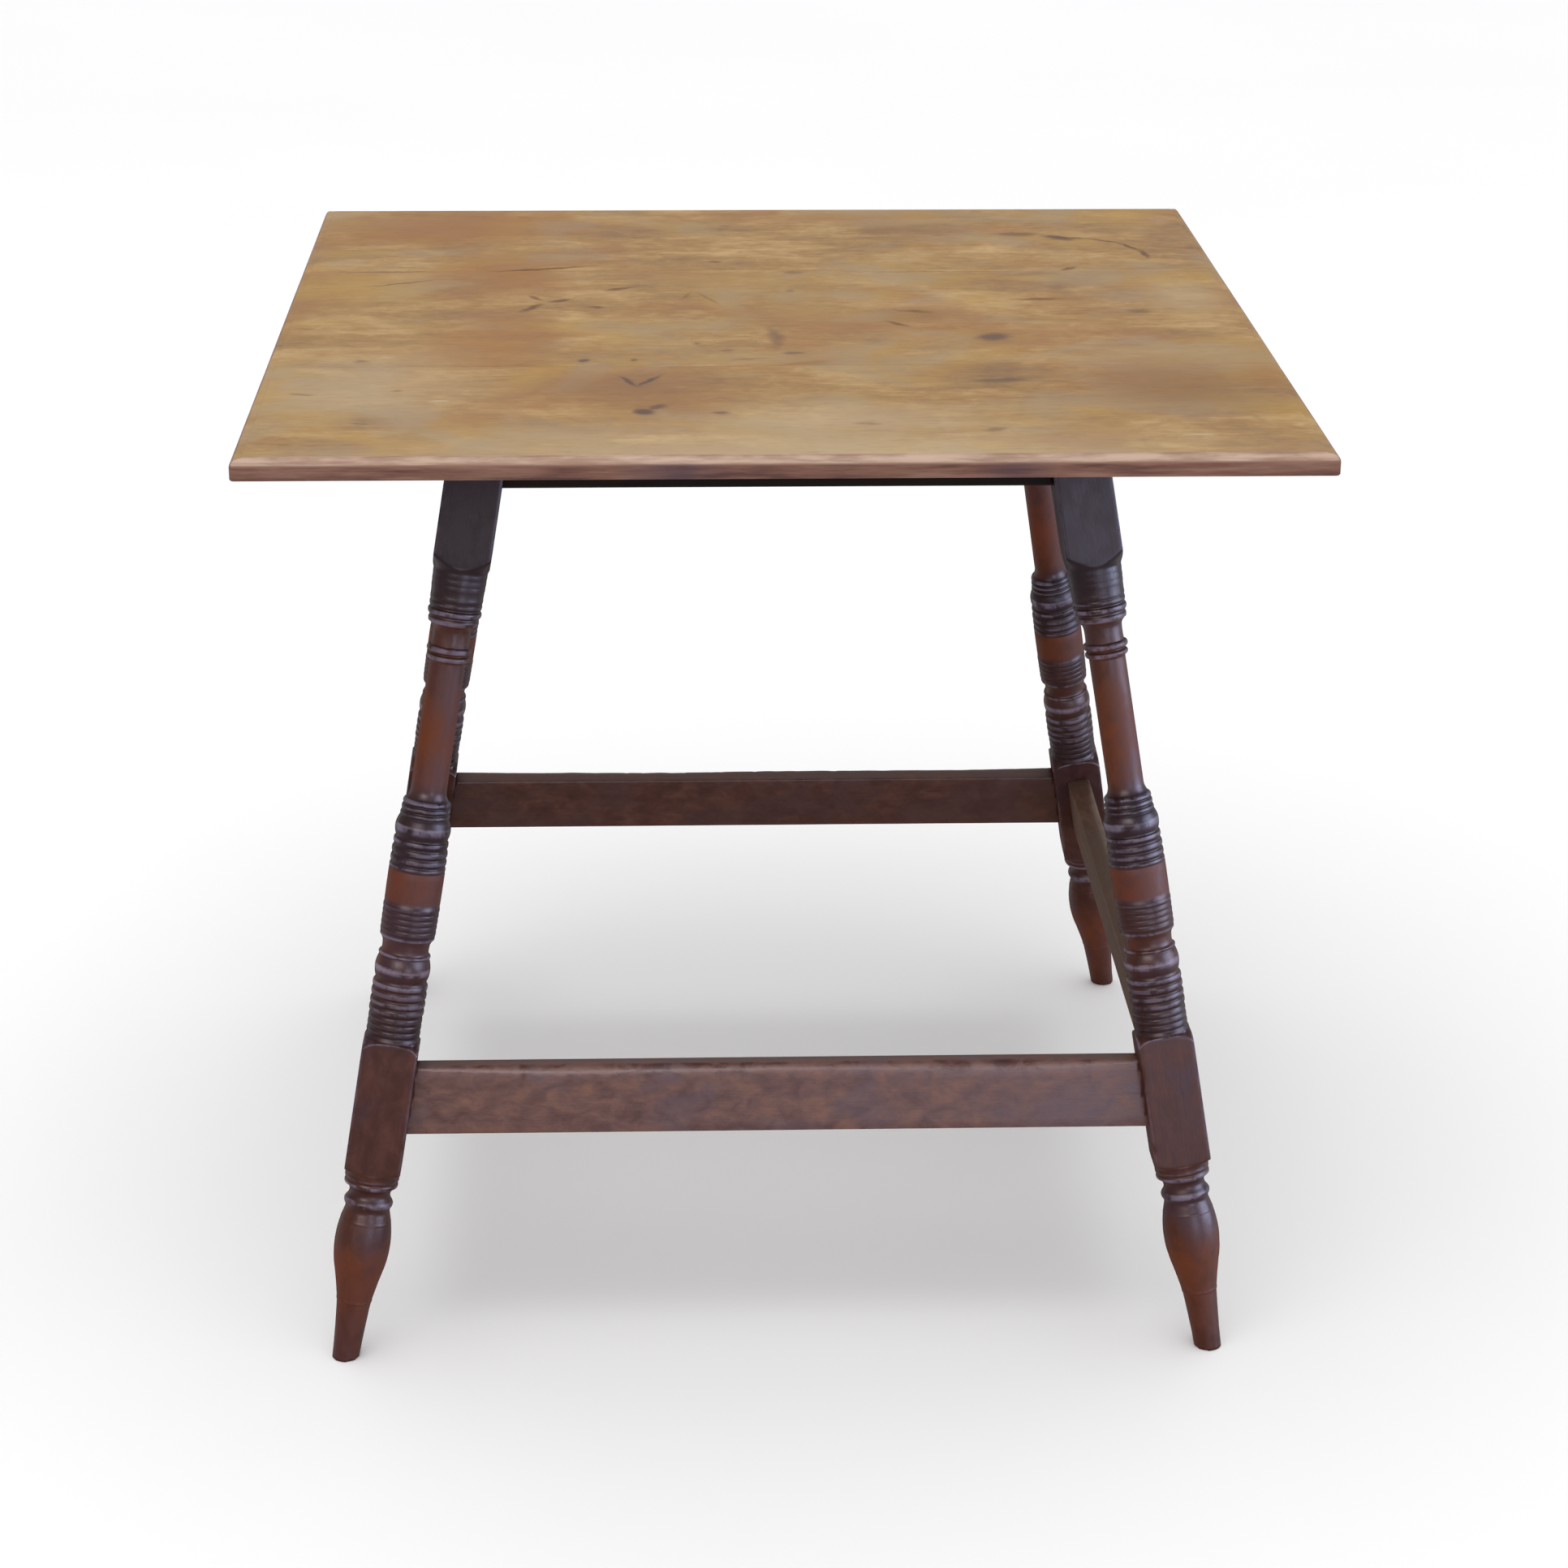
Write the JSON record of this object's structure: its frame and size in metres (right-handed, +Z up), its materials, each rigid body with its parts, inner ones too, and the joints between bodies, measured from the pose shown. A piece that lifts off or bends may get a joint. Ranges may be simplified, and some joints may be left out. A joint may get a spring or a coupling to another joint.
{
  "type": "tavern table",
  "caption": "Near-square table: thin moulded board top on splayed, ring-turned legs with square blocks, joined by aprons under the top and a low box stretcher.",
  "frame": {"origin": "on the floor under the middle of the top", "axes": "+Z up, +Y from the front of the table to its back along the longer side of the top, +X to the right seen from the front"},
  "size_m": [0.737, 0.762, 0.711],
  "materials": {
    "top_wood": "old wax over worn varnish, satin",
    "leg_wood": "dark stained and varnished, satin",
    "rail_wood": "dark stained and varnished, rubbed",
    "block_wood": "bare, matt"
  },
  "bodies": {
    "root": {"top_board_rear": "top_wood", "top_board_middle": "top_wood", "top_board_front": "top_wood", "leg_front_left": "leg_wood", "leg_front_right": "leg_wood", "leg_back_left": "leg_wood", "leg_back_right": "leg_wood", "apron_front": "rail_wood", "apron_back": "rail_wood", "apron_left": "rail_wood", "apron_right": "rail_wood", "stretcher_front": "rail_wood", "stretcher_back": "rail_wood", "stretcher_left": "rail_wood", "stretcher_right": "rail_wood", "glue_block_front_a": "block_wood", "glue_block_front_b": "block_wood", "glue_block_back_a": "block_wood", "glue_block_back_b": "block_wood", "glue_block_left_a": "block_wood", "glue_block_left_b": "block_wood", "glue_block_right_a": "block_wood", "glue_block_right_b": "block_wood"}
  },
  "joints": []
}
